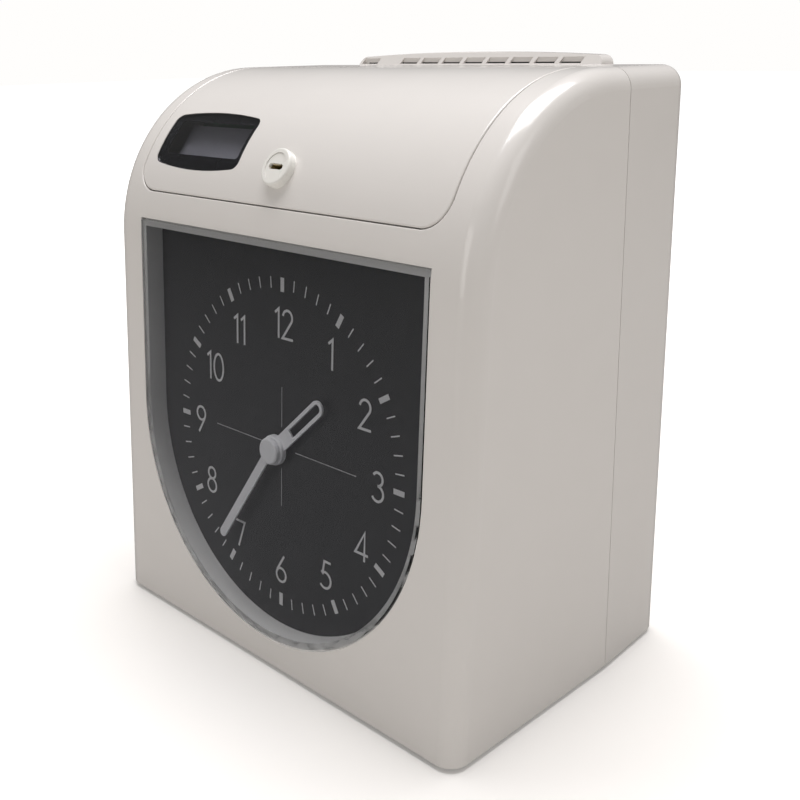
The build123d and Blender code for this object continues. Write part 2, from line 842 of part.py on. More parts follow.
with BuildPart() as cannon_pinion:
    with BuildSketch(clock_plane(low_level)):
        add(gear_outline(cannon_teeth, cannon_module, -90))
    extrude(amount=gear_thick)
    arbor_low = case_front - movement_depth + movement_wall
    with BuildSketch(clock_plane(arbor_low)):
        Circle(arbor_radius)
    extrude(amount=minute_level + hand_thick - arbor_low)
save(cannon_pinion, "cannon_pinion")

with BuildPart() as minute_wheel:
    centre = (0, -motion_centres)
    with BuildSketch(clock_plane(low_level)):
        with Locations(centre):
            add(gear_outline(minute_teeth, cannon_module, 90 + 180 / minute_teeth))
    extrude(amount=gear_thick)
    with BuildSketch(clock_plane(low_level)):
        with Locations(centre):
            add(gear_outline(minute_pinion_teeth, hour_module, 90))
    extrude(amount=gear_level + gear_thick - low_level)
    with BuildSketch(clock_plane(case_front - movement_depth - 2.0)):
        with Locations(centre):
            Circle(stub_radius)
    extrude(amount=low_level - case_front + movement_depth + 2.0)
save(minute_wheel, "minute_wheel")

with BuildPart() as set_knob:
    with BuildSketch(clock_plane(case_front - movement_depth - 5.0)):
        with Locations((0, -motion_centres)):
            Circle(5.0)
            with PolarLocations(5.0, 12):
                Circle(0.6, mode=Mode.SUBTRACT)
    extrude(amount=4.0)
    with BuildSketch(clock_plane(case_front - movement_depth - 2.0)):
        with Locations((0, -motion_centres)):
            Circle(stub_radius)
    extrude(amount=1.0, mode=Mode.SUBTRACT)
save(set_knob, "set_knob")


# ---- Top cover with its rolled hinge edge ----
with BuildPart() as top_cover:
    add(front_block(0, hinge_y, foot_height))
    add(front_block(wall, hinge_y + wall, foot_height - wall), mode=Mode.SUBTRACT)
    add(cover_prism(0), mode=Mode.INTERSECT)
    fillet(cover_rim(top_cover, 0), radius=cover_edge_round)
    hinge_plane = Plane(origin=(cover_x, hinge_y, hinge_z), x_dir=(0, 1, 0), z_dir=(1, 0, 0))
    with BuildSketch(hinge_plane):
        Circle(roll_radius)
    extrude(amount=cover_half, both=True)
    for side in (-1, 1):
        with BuildSketch(hinge_plane.offset(side * cover_half)):
            Circle(hinge_pin_radius + running_fit)
        extrude(amount=-side * hinge_pin_length, mode=Mode.SUBTRACT)
    add(display_prism(0), mode=Mode.SUBTRACT)
    with BuildSketch(brow_plane(lock_angle, brow_radius)):
        Circle(lock_barrel_radius + fit)
    extrude(amount=3 * wall, both=True, mode=Mode.SUBTRACT)
save(top_cover, "top_cover")

with BuildPart() as hinge_pins:
    for side in (-1, 1):
        start = cover_x + side * (cover_half - hinge_pin_length + 1.0)
        with BuildSketch(Plane(origin=(start, hinge_y, hinge_z), x_dir=(0, 1, 0), z_dir=(1, 0, 0))):
            Circle(hinge_pin_radius)
        extrude(amount=side * (hinge_pin_length + 2 * cover_gap + lug_width - 1.0))
save(hinge_pins, "hinge_pins")

# ---- Display window and its mask, set in the cover ----
with BuildPart() as display_window:
    add(front_block(0.15, seam_y, foot_height))
    add(front_block(0.15 + display_thick, seam_y, foot_height - wall), mode=Mode.SUBTRACT)
    add(display_prism(-display_fit), mode=Mode.INTERSECT)
save(display_window, "display_window")

with BuildPart() as display_mask:
    add(front_block(0.15 + display_thick, seam_y, foot_height))
    add(front_block(0.15 + display_thick + mask_thick, seam_y, foot_height - wall), mode=Mode.SUBTRACT)
    add(display_prism(-display_fit), mode=Mode.INTERSECT)
    with BuildSketch(brow_plane(display_angle, brow_radius, display_x)):
        with Locations((0, aperture_rise)):
            RectangleRounded(aperture_width, aperture_height, 1.5)
    extrude(amount=3 * wall, both=True, mode=Mode.SUBTRACT)
save(display_mask, "display_mask")

# ---- Lock ----
lock_face_level = lock_proud - lock_recess
with BuildPart() as lock_body:
    with BuildSketch(brow_plane(lock_angle, brow_radius - 0.9)):
        Circle(lock_barrel_radius + lock_ring_lip)
    extrude(amount=lock_proud + 0.9)
    fillet(lock_body.faces().sort_by(Axis.Y)[0].edges(), radius=lock_ring_round)
    with BuildSketch(brow_plane(lock_angle, brow_radius - lock_depth + 1.5)):
        Circle(lock_barrel_radius)
    extrude(amount=lock_depth - 1.5)
    add(front_block(0, seam_y, foot_height - wall), mode=Mode.SUBTRACT)
    with BuildSketch(brow_plane(lock_angle, brow_radius - lock_depth + 1.5)):
        Circle(lock_barrel_radius)
    extrude(amount=lock_depth)
    with BuildSketch(brow_plane(lock_angle, brow_radius - lock_depth)):
        Circle(lock_plug_radius + running_fit)
    extrude(amount=lock_depth + 2 * lock_proud, mode=Mode.SUBTRACT)
save(lock_body, "lock_body")

with BuildPart() as lock_face:
    with BuildSketch(brow_plane(lock_angle, brow_radius + lock_face_level - lock_face_thick)):
        Circle(lock_plug_radius)
        SlotOverall(keyway_width, keyway_height, mode=Mode.SUBTRACT)
    extrude(amount=lock_face_thick)
save(lock_face, "lock_face")

with BuildPart() as lock_plug:
    with BuildSketch(brow_plane(lock_angle, brow_radius - lock_depth)):
        Circle(lock_plug_radius)
    extrude(amount=lock_depth + lock_face_level - lock_face_thick)
    with BuildSketch(brow_plane(lock_angle, brow_radius + lock_face_level - lock_face_thick)):
        Rectangle(keyway_width - 0.6, keyway_height - 0.6)
        with Locations((keyway_width / 4, 0)):
            Rectangle(keyway_width / 3, keyway_height)
    extrude(amount=-lock_depth * 0.7, mode=Mode.SUBTRACT)
save(lock_plug, "lock_plug")

with BuildPart() as lock_cam:
    with BuildSketch(brow_plane(lock_angle, brow_radius - lock_depth - cam_thick)):
        with Locations((-cam_reach / 2 + cam_width / 4, 0)):
            SlotOverall(cam_reach + cam_width / 2, cam_width)
    extrude(amount=cam_thick)
save(lock_cam, "lock_cam")


# ---- Display board, panel, switches and keys on the chassis ----
with BuildPart() as display_board:
    with BuildSketch(brow_plane(display_angle, board_radius - board_thick)):
        with Locations(((board_left + board_right) / 2, 0)):
            Rectangle(board_right - board_left, board_height)
    extrude(amount=board_thick)
save(display_board, "display_board")

with BuildPart() as lcd_panel:
    with BuildSketch(brow_plane(display_angle, board_radius, display_x)):
        Rectangle(lcd_width, lcd_height)
    extrude(amount=lcd_thick)
    chamfer(lcd_panel.faces().sort_by(Axis.Y)[0].edges(), length=0.4)
save(lcd_panel, "lcd_panel")

key_places = [(key_first_x + key_pitch * n, 0) for n in range(key_count)]
with BuildPart() as key_switches:
    with BuildSketch(brow_plane(display_angle, board_radius)):
        with Locations(*key_places):
            Rectangle(switch_size, switch_size)
    extrude(amount=switch_thick)
save(key_switches, "key_switches")

for number, (key_x, key_v) in enumerate(key_places, start=1):
    key_foot = board_radius + switch_thick + key_travel + 0.2
    with BuildPart() as key:
        with BuildSketch(brow_plane(display_angle, key_foot, key_x)):
            RectangleRounded(key_size, key_size, 1.5)
        extrude(amount=key_cap_thick)
        key_top = key.faces().sort_by(Axis((0, 0, 0), brow_plane(display_angle, 0).z_dir))[-1]
        fillet(key_top.edges(), radius=key_round)
    save(key, f"key_{number}")


# ---- Chassis: side plates, tie bars ----
def through_hole(depth, height, radius):
    """A round bar right across the casing, to cut a hole in both side plates."""
    return disc(cross_plane(-shell_width, depth, height), radius, 2 * shell_width)


board_a = radians(display_angle)
board_back = board_radius - board_thick
brow_depth = brow_y - front_y
brow_height = brow_z - foot_height


def board_edge(along):
    """Depth and height of a point on the display board's rear face."""
    depth = brow_depth - board_back * cos(board_a) + along * sin(board_a)
    height = brow_height + board_back * sin(board_a) + along * cos(board_a)
    return (depth, height)


with BuildPart() as side_plates:
    for side in (-1, 1):
        inner = side * plate_x
        lower = board_edge(-board_height / 2)
        higher = board_edge(board_height / 2 - 6.0)
        with BuildSketch(cross_plane(inner, 0, 0)):
            with BuildLine():
                Polyline(
                    (plate_front, base_high),
                    (plate_rear, base_high),
                    (plate_rear, plate_high),
                    (higher[0] + 6.0, plate_high),
                    higher,
                    lower,
                    (lower[0] + 4.0, lower[1] - 16.0),
                    (plate_front, lower[1] - 30.0),
                    close=True,
                )
            make_face()
        extrude(amount=side * plate_thick)
        with BuildSketch(Plane.XY.offset(up(base_high))):
            with Locations((inner + side * 6.0, back((plate_front + plate_rear) / 2))):
                Rectangle(12.0, plate_rear - plate_front)
        extrude(amount=plate_thick)
    for depth in (main_board_depth[0] + 4.0, main_board_depth[1] - 4.0):
        for height in (main_board_height[0] + 4.0, main_board_height[1] - 4.0):
            with BuildSketch(cross_plane(-plate_x - plate_thick - standoff, depth, height)):
                Circle(2.5)
            extrude(amount=standoff)
    for depth in rod_depths:
        add(through_hole(depth, rod_height, rod_radius), mode=Mode.SUBTRACT)
    add(through_hole(feed_depth, feed_height, feed_shaft_radius + running_fit), mode=Mode.SUBTRACT)
    add(through_hole(pinch_depth, feed_height, pinch_shaft_radius + running_fit), mode=Mode.SUBTRACT)
    pinion_hole = feed_module * drive_teeth
    add(through_hole(feed_motor_depth, feed_motor_height, pinion_hole), mode=Mode.SUBTRACT)
save(side_plates, "side_plates")

with BuildPart() as guide_rods:
    for depth in rod_depths:
        with BuildSketch(cross_plane(-plate_x - plate_thick - 1.0, depth, rod_height)):
            Circle(rod_radius)
        extrude(amount=2 * (plate_x + plate_thick + 1.0))
save(guide_rods, "guide_rods")

with BuildPart() as tie_bars:
    for depth, height in ((plate_front + 6.0, 130.0), (plate_front + 6.0, 60.0)):
        with BuildSketch(cross_plane(-plate_x, depth, height)):
            Rectangle(6.0, 6.0)
        extrude(amount=2 * plate_x)
save(tie_bars, "tie_bars")

# ---- Card chute ----
roller_window = 2 * feed_roller_radius
chute_floor = chute_low - 2.0
with BuildPart() as chute_front:
    add(block_between((-plate_x, plate_x), (card_front - chute_thick, card_front), (chute_low, chute_high)))
    add(block_between((-plate_x, plate_x), (card_front, card_rear), (chute_floor, chute_low)))
    add(block_between((-plate_x, plate_x), (card_front - chute_thick, card_front), (chute_floor, chute_low)))
    with BuildSketch(rear_plane(0, card_front, 0)):
        with Locations((0, print_height)):
            Rectangle(2 * platen_half, platen_height)
        with Locations((-roller_x, feed_height), (roller_x, feed_height)):
            Rectangle(roller_width + 2.0, roller_window)
    extrude(amount=-2 * chute_thick, mode=Mode.SUBTRACT)
save(chute_front, "chute_front")

with BuildPart() as chute_back:
    add(block_between((-plate_x, plate_x), (card_rear, card_rear + chute_thick), (chute_floor, chute_high)))
    with BuildSketch(rear_plane(0, card_rear, 0)):
        with Locations((0, print_height)):
            Rectangle(2 * (platen_half + fit), platen_height + 2 * fit)
        with Locations((-roller_x, feed_height), (roller_x, feed_height)):
            Rectangle(roller_width + 2.0, roller_window)
    extrude(amount=2 * chute_thick, mode=Mode.SUBTRACT)
save(chute_back, "chute_back")

platen_reach = (-plate_x, plate_x)
platen_span = (print_height - platen_height / 2, print_height + platen_height / 2)
with BuildPart() as platen:
    add(block_between((-platen_half, platen_half), (card_rear, card_rear + platen_depth), platen_span))
    add(block_between(platen_reach, (card_rear + chute_thick + 1.0, card_rear + platen_depth), platen_span))
save(platen, "platen")

# ---- Carriage and print head ----
carriage_span = (rod_height - carriage_thick / 2, rod_height + carriage_thick / 2)
carriage_depths = (rod_depths[0] - carriage_overhang, rod_depths[1] + carriage_overhang)
belt_run = rod_height + pulley_radius + belt_thick
with BuildPart() as carriage:
    add(block_between((-carriage_half, carriage_half), carriage_depths, carriage_span))
    add(
        block_between(
            (-carriage_half / 2, carriage_half / 2),
            (pulley_depth - belt_width / 2, carriage_depths[0]),
            (belt_run + belt_gap, belt_run + belt_gap + 3.0),
        )
    )
    add(
        block_between(
            (-carriage_half / 2, carriage_half / 2),
            (pulley_depth + belt_width / 2 + belt_gap, carriage_depths[0] + 2.0),
            (rod_height, belt_run + belt_gap + 3.0),
        )
    )
    for depth in rod_depths:
        with BuildSketch(cross_plane(-carriage_half, depth, rod_height)):
            Circle(rod_radius + running_fit)
        extrude(amount=2 * carriage_half, mode=Mode.SUBTRACT)
save(carriage, "carriage")

head_span = (carriage_span[1], carriage_span[1] + head_height)
nose_tip = ribbon_depth - ribbon_thick / 2 - 0.4
head_depths = (carriage_depths[0] + 6.0, carriage_depths[1] + 2.0)
with BuildPart() as print_head:
    add(block_between((-head_half, head_half), head_depths, head_span))
    for rib in range(5):
        depth = head_depths[0] + 3.0 + rib * 4.0
        add(
            block_between((-head_half - 1, head_half + 1), (depth, depth + 1.6), head_span),
            mode=Mode.ADD,
        )
    add(
        block_between(
            (-head_nose_half, head_nose_half),
            (head_depths[1], nose_tip),
            (print_height - nose_height / 2, print_height + nose_height / 2),
        )
    )
save(print_head, "print_head")

# ---- Carriage drive ----
def pulley(name, x, shaft_front):
    """A toothed-belt pulley with two flanges and its shaft, turning about Y."""
    with BuildPart() as wheel:
        front = pulley_depth - belt_width / 2 - 0.5
        with BuildSketch(rear_plane(x, front, rod_height)):
            Circle(pulley_radius - belt_gap)
        extrude(amount=belt_width + 1.0)
        for depth in (front - 0.8, front + belt_width + 1.0):
            with BuildSketch(rear_plane(x, depth, rod_height)):
                Circle(pulley_radius - belt_gap / 2)
            extrude(amount=0.8)
        with BuildSketch(rear_plane(x, shaft_front, rod_height)):
            Circle(1.5)
        extrude(amount=front - shaft_front)
    save(wheel, name)


motor_rear = pulley_depth - belt_width / 2 - 2.5
pulley("drive_pulley", -pulley_x, motor_rear)
pulley("idler_pulley", pulley_x, motor_rear)

with BuildPart() as drive_belt:
    with BuildSketch(rear_plane(0, pulley_depth - belt_width / 2, rod_height)):
        SlotOverall(2 * (pulley_x + pulley_radius + belt_thick), 2 * (pulley_radius + belt_thick))
        SlotOverall(2 * (pulley_x + pulley_radius), 2 * pulley_radius, mode=Mode.SUBTRACT)
    extrude(amount=belt_width)
save(drive_belt, "drive_belt")

with BuildPart() as carriage_motor:
    with BuildSketch(rear_plane(-pulley_x, motor_rear, rod_height)):
        Circle(motor_radius)
        Circle(1.5 + running_fit, mode=Mode.SUBTRACT)
    extrude(amount=-carriage_motor_length)
save(carriage_motor, "carriage_motor")

with BuildPart() as drive_brackets:
    with BuildSketch(rear_plane(pulley_x, motor_rear, rod_height)):
        with Locations((-(plate_x - pulley_x) / 2 + 3.0, 0)):
            Rectangle(plate_x - pulley_x + 6.0, 14.0)
        Circle(1.5 + running_fit, mode=Mode.SUBTRACT)
    extrude(amount=-2.0)
    with BuildSketch(rear_plane(-pulley_x, motor_rear - carriage_motor_length, rod_height)):
        with Locations(((plate_x - pulley_x) / 2 - 4.0, 0)):
            Rectangle(plate_x - pulley_x + 8.0, 20.0)
    extrude(amount=-2.0)
save(drive_brackets, "drive_brackets")

# ---- Card feed ----
with BuildPart() as feed_shaft:
    with BuildSketch(cross_plane(-plate_x - plate_thick - 1.0, feed_depth, feed_height)):
        Circle(feed_shaft_radius)
    extrude(amount=2 * plate_x + 2 * plate_thick + feed_gear_thick + 3.0)
save(feed_shaft, "feed_shaft")

with BuildPart() as feed_rollers:
    for side in (-1, 1):
        with BuildSketch(cross_plane(side * roller_x - roller_width / 2, feed_depth, feed_height)):
            Circle(feed_roller_radius)
            Circle(feed_shaft_radius, mode=Mode.SUBTRACT)
        extrude(amount=roller_width)
save(feed_rollers, "feed_rollers")

with BuildPart() as pinch_rollers:
    with BuildSketch(cross_plane(-plate_x - plate_thick, pinch_depth, feed_height)):
        Circle(pinch_shaft_radius)
    extrude(amount=2 * (plate_x + plate_thick))
    for side in (-1, 1):
        with BuildSketch(cross_plane(side * roller_x - roller_width / 2, pinch_depth, feed_height)):
            Circle(pinch_roller_radius)
        extrude(amount=roller_width)
save(pinch_rollers, "pinch_rollers")

gear_x = plate_x + plate_thick + 0.5
with BuildPart() as feed_gear:
    with BuildSketch(cross_plane(gear_x, feed_depth, feed_height)):
        add(gear_outline(feed_teeth, feed_module, feed_motor_angle + 180 / feed_teeth))
        Circle(feed_shaft_radius, mode=Mode.SUBTRACT)
        with PolarLocations(9.0, 5):
            Circle(2.6, mode=Mode.SUBTRACT)
    extrude(amount=feed_gear_thick)
save(feed_gear, "feed_gear")

with BuildPart() as motor_pinion:
    with BuildSketch(cross_plane(gear_x, feed_motor_depth, feed_motor_height)):
        add(gear_outline(drive_teeth, feed_module, feed_motor_angle + 180))
    extrude(amount=feed_gear_thick)
    with BuildSketch(cross_plane(plate_x - 1.0, feed_motor_depth, feed_motor_height)):
        Circle(1.5)
    extrude(amount=gear_x - plate_x + 1.0)
save(motor_pinion, "motor_pinion")

with BuildPart() as feed_motor:
    with BuildSketch(cross_plane(plate_x - 1.0 - feed_motor_length, feed_motor_depth, feed_motor_height)):
        Circle(motor_radius)
    extrude(amount=feed_motor_length)
    with BuildSketch(cross_plane(plate_x - 1.0, feed_motor_depth, feed_motor_height)):
        Circle(feed_module * drive_teeth + 3.0)
        Circle(feed_module * drive_teeth, mode=Mode.SUBTRACT)
    extrude(amount=1.0)
save(feed_motor, "feed_motor")

# ---- Ribbon ----
cassette_low = head_span[1] + 1.5
arm_low = platen_span[0]
with BuildPart() as ribbon_cassette:
    cassette_span = (cassette_low, cassette_low + cassette_thick)
    add(block_between((-cassette_half, cassette_half), (cassette_front, cassette_rear), cassette_span))
    fillet(ribbon_cassette.edges().filter_by(Axis.Z), radius=4.0)
    for side in (-1, 1):
        outer = sorted((side * cassette_half, side * (cassette_half - cassette_arm)))
        add(block_between(outer, (cassette_rear - 8.0, cassette_rear), (arm_low, cassette_low + 1.0)))
save(ribbon_cassette, "ribbon_cassette")

with BuildPart() as ink_ribbon:
    ribbon_range = (ribbon_depth - ribbon_thick / 2, ribbon_depth + ribbon_thick / 2)
    add(block_between((-ribbon_half, ribbon_half), ribbon_range, (platen_span[0], platen_span[1])))
save(ink_ribbon, "ink_ribbon")

knob_depth = (cassette_front + cassette_rear) / 2
with BuildPart() as ribbon_knob:
    with BuildSketch(Plane(origin=(cassette_half - 14.0, back(knob_depth), up(cassette_span[1] + 0.3)))):
        Circle(knob_radius)
        with PolarLocations(knob_radius, 16):
            Circle(0.6, mode=Mode.SUBTRACT)
    extrude(amount=knob_height)
save(ribbon_knob, "ribbon_knob")


# ---- Electrics ----
board_x = -plate_x - plate_thick - standoff
with BuildPart() as main_board:
    add(block_between((board_x - board_thick, board_x), main_board_depth, main_board_height))
save(main_board, "main_board")

with BuildPart() as board_components:
    outer_x = board_x - board_thick
    add(block_between((outer_x - 3.0, outer_x), (64.0, 84.0), (60.0, 80.0)))
    add(block_between((outer_x - 8.0, outer_x), (60.0, 96.0), (28.0, 36.0)))
    for place in range(3):
        with BuildSketch(cross_plane(outer_x, 62.0 + 13.0 * place, 98.0)):
            Circle(5.0)
        extrude(amount=-12.0)
save(board_components, "board_components")

core_depth = 74.0
core_x = -20.0
with BuildPart() as transformer_core:
    with BuildSketch(Plane(origin=(core_x, back(core_depth), up(base_high)))):
        Rectangle(core_size[0], core_size[1])
    extrude(amount=core_size[2])
    coil_middle = base_high + core_size[2] / 2
    with BuildSketch(rear_plane(core_x, core_depth - core_size[1], coil_middle)):
        for offset in (-1, 1):
            with Locations((offset * coil_size[0] / 2 * 0.62, 0)):
                Rectangle(coil_size[0] * 0.32, coil_size[2])
    extrude(amount=2 * core_size[1], mode=Mode.SUBTRACT)
save(transformer_core, "transformer_core")

with BuildPart() as transformer_coil:
    with BuildSketch(rear_plane(core_x, core_depth - coil_size[1] / 2, coil_middle)):
        RectangleRounded(coil_size[0] * 0.94, coil_size[2] - 0.6, 3.0)
    extrude(amount=coil_size[1])
    add(transformer_core.part, mode=Mode.SUBTRACT)
save(transformer_coil, "transformer_coil")

with BuildPart() as battery_pack:
    for cell in range(cell_count):
        cell_x = 22.0 + (2 * cell_radius + 0.2) * cell
        with BuildSketch(rear_plane(cell_x, plate_front + 4.0, base_high + cell_radius)):
            Circle(cell_radius)
        extrude(amount=cell_length)
save(battery_pack, "battery_pack")

with BuildPart() as speaker:
    with BuildSketch(rear_plane(speaker_x, shell_depth - wall - speaker_depth, speaker_height)):
        Circle(speaker_radius * 0.55)
    extrude(amount=speaker_depth * 0.5)
    with BuildSketch(rear_plane(speaker_x, shell_depth - wall - speaker_depth * 0.5, speaker_height)):
        Circle(speaker_radius)
    extrude(amount=speaker_depth * 0.5)
save(speaker, "speaker")

with BuildPart() as power_inlet:
    with BuildSketch(rear_plane(inlet_x, shell_depth - inlet_depth, inlet_height)):
        Rectangle(inlet_width, inlet_tall)
    extrude(amount=inlet_depth)
    with BuildSketch(rear_plane(inlet_x, shell_depth, inlet_height)):
        Rectangle(inlet_flange_width, inlet_flange_tall)
    extrude(amount=-inlet_flange)
    with BuildSketch(rear_plane(inlet_x, shell_depth, inlet_height)):
        Rectangle(inlet_width - 2 * inlet_wall, inlet_tall - 2 * inlet_wall)
    extrude(amount=-inlet_depth + inlet_wall, mode=Mode.SUBTRACT)
    with BuildSketch(rear_plane(inlet_x, shell_depth - inlet_depth, inlet_height)):
        with Locations((-inlet_pin_pitch, 0), (0, inlet_pin_rise), (inlet_pin_pitch, 0)):
            Rectangle(inlet_pin_width, inlet_pin_tall)
    extrude(amount=inlet_depth - inlet_pin_sunk)
save(power_inlet, "power_inlet")
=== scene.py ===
# %% [markdown]
# # A punch time clock, finished in Blender
# The working model arrives as a fixed frame: sixty separate parts, at their real size and place.
# This lesson adds what the eye sees: the camera and the light, a finish for every surface, the print on
# the dial, and a black sheet of painted shade under the hood. Nothing here moves or resizes a part.

# %% Load the frame
import json
from math import cos, hypot, radians, sin

import bmesh
import bpy
from mathutils import Matrix, Vector


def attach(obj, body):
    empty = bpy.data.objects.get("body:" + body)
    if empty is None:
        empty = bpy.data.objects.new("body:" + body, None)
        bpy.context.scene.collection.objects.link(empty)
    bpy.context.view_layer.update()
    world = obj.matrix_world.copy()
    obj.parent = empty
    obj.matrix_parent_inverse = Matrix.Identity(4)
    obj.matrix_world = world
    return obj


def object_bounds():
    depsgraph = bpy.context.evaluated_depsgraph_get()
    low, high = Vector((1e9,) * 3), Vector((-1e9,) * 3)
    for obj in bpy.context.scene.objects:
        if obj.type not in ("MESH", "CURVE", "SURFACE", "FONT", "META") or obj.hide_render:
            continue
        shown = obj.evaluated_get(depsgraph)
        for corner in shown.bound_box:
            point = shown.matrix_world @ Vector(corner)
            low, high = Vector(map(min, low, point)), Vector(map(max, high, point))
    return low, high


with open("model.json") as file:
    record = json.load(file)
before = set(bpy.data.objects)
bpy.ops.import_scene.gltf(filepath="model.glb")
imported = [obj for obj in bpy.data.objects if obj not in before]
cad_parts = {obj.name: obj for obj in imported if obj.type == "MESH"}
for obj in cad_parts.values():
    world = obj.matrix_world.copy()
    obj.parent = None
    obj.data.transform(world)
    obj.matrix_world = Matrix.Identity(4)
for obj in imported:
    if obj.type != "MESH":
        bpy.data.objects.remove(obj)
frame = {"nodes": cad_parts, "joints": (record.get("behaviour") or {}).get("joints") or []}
cad_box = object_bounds()
MM = 0.001
nodes = frame["nodes"]
print(len(nodes), "parts in the frame, box", [[round(v, 4) for v in corner] for corner in cad_box])


# %% [markdown]
# ## The camera
# A product picture of a small machine is taken from a little above its top, turned 45 degrees, so
# that the face, one side and the top all show. The lens is long enough to keep the upright edges
# nearly parallel. The camera's own axes are worked out from its turn, its dip and a slight roll.

# %% Place the camera
def camera_matrix(place, turn, dip, roll):
    """A camera at a place, turned to the left, dipped below level and rolled, all in degrees."""
    t, d, r = radians(turn), radians(dip), radians(roll)
    ahead = Vector((-sin(t) * cos(d), cos(t) * cos(d), -sin(d)))
    right = Vector((cos(t), sin(t), 0))
    top = right.cross(ahead)
    right, top = right * cos(r) + top * sin(r), top * cos(r) - right * sin(r)
    matrix = Matrix((right, top, -ahead)).transposed().to_4x4()
    matrix.translation = place
    return matrix


SENSOR_WIDTH = 36.0
FOCAL_LENGTH = 47.03
LENS_SHIFT = -0.0375
CAMERA_PLACE = Vector((303.16, -288.70, 239.01))
CAMERA_TURN = 45.012
CAMERA_DIP = 17.154
CAMERA_ROLL = -1.071

camera_data = bpy.data.cameras.new("camera")
camera_data.sensor_width = SENSOR_WIDTH
camera_data.lens = FOCAL_LENGTH
camera_data.shift_y = LENS_SHIFT
camera = bpy.data.objects.new("camera", camera_data)
bpy.context.collection.objects.link(camera)
camera.matrix_world = camera_matrix(CAMERA_PLACE * MM, CAMERA_TURN, CAMERA_DIP, CAMERA_ROLL)
bpy.context.scene.camera = camera
print("camera at", [round(v, 3) for v in camera.location])


# %% [markdown]
# ## Floor and light
# White plastic on white paper is lit from above, so that the top is the brightest face, the side
# is next and the leaning face falls into soft shade. One large panel hangs overhead, and two weak
# ones open the shadows. The paper and the room must look bright to the camera, yet a gloss surface
# must not mirror all of that light, or black plastic turns grey. A photographer hangs dark flags.
# Here the room and the paper are simply dimmer to a reflected ray than to a direct one.

# %% Floor, panels and world
def link(obj):
    """Put a new object in the scene."""
    bpy.context.collection.objects.link(obj)
    return obj


def new_node(tree, kind, **settings):
    """A node of a kind, with its settings and any unlinked inputs set by name."""
    node = tree.nodes.new(kind)
    for key, value in settings.items():
        if key in node.inputs:
            node.inputs[key].default_value = value
        else:
            setattr(node, key, value)
    return node


floor_mesh = bpy.data.meshes.new("floor")
FLOOR_HALF = 8.0
corners = [(x * FLOOR_HALF, y * FLOOR_HALF, 0) for x, y in ((-1, -1), (1, -1), (1, 1), (-1, 1))]
floor_mesh.from_pydata(corners, [], [(0, 1, 2, 3)])
floor = link(bpy.data.objects.new("floor", floor_mesh))


def panel(name, place, target, size, power, tint=(1, 1, 1)):
    """A soft square light at a place, facing a target."""
    data = bpy.data.lights.new(name, "AREA")
    data.shape = "RECTANGLE"
    data.size, data.size_y = size
    data.energy = power
    data.color = tint
    lamp = link(bpy.data.objects.new(name, data))
    lamp.location = place
    aim = Vector(target) - Vector(place)
    lamp.rotation_euler = aim.to_track_quat("-Z", "Y").to_euler()
    return lamp


middle = Vector([(low + high) / 2 for low, high in zip(*cad_box)])
panel("top_light", (-0.1, 0.25, 1.8), middle, (1.5, 1.1), 37.0, (0.995, 0.985, 1.0))
panel("front_fill", (-0.35, -1.6, 0.5), middle, (0.5, 0.9), 2.5, (1.0, 0.975, 0.94))
panel("side_fill", (1.5, 0.1, 0.9), middle, (0.6, 0.9), 2.3, (1.0, 0.98, 0.95))

ROOM_SEEN = 1.0
ROOM_LIGHT = 0.34
ROOM_MIRRORED = 0.14
world = bpy.data.worlds.new("surround")
world.use_nodes = True
sky = world.node_tree
path = new_node(sky, "ShaderNodeLightPath")
mirrored = new_node(sky, "ShaderNodeMix", data_type="FLOAT", A=ROOM_LIGHT, B=ROOM_MIRRORED)
sky.links.new(path.outputs["Is Glossy Ray"], mirrored.inputs["Factor"])
seen = new_node(sky, "ShaderNodeMix", data_type="FLOAT", B=ROOM_SEEN)
sky.links.new(path.outputs["Is Camera Ray"], seen.inputs["Factor"])
sky.links.new(mirrored.outputs["Result"], seen.inputs["A"])
sky.nodes["Background"].inputs["Color"].default_value = (1.0, 0.99, 0.975, 1)
sky.links.new(seen.outputs["Result"], sky.nodes["Background"].inputs["Strength"])
bpy.context.scene.world = world
bpy.context.scene.view_settings.view_transform = "Standard"
print("three panels, and a room that is dimmer in reflections")


# %% [markdown]
# ## Shared effects
# Moulded plastic, sheet metal and rubber differ mostly in how fine their surface is and how it
# wears. Each such effect is one node group with named sockets, used by many materials with other
# values. A group gives out only heights, masks and normals: the shader stays in the material.

# %% A helper for node groups
def new_group(name, inputs, outputs):
    """An empty shader group with number inputs {name: value} and outputs [(name, kind)]."""
    tree = bpy.data.node_groups.new(name, "ShaderNodeTree")
    for socket, value in inputs.items():
        made = tree.interface.new_socket(socket, in_out="INPUT", socket_type="NodeSocketFloat")
        made.default_value = value
    for socket, kind in outputs:
        tree.interface.new_socket(socket, in_out="OUTPUT", socket_type=kind)
    return tree, tree.nodes.new("NodeGroupInput"), tree.nodes.new("NodeGroupOutput")


def ramp_between(tree, source, low, high, dark=0.0, light=1.0):
    """Map a value between two limits to a mask."""
    node = new_node(tree, "ShaderNodeMapRange")
    for socket, value in (("From Min", low), ("From Max", high), ("To Min", dark), ("To Max", light)):
        node.inputs[socket].default_value = value
    tree.links.new(source, node.inputs["Value"])
    return node.outputs["Result"]


# %% [markdown]
# **Mould texture.** A moulded part copies the steel of its mould. Even a polished one leaves a very
# long, low waviness, and a matt one leaves a fine grain. Two noises, one coarse and one fine, are
# added in set shares and made into a normal.

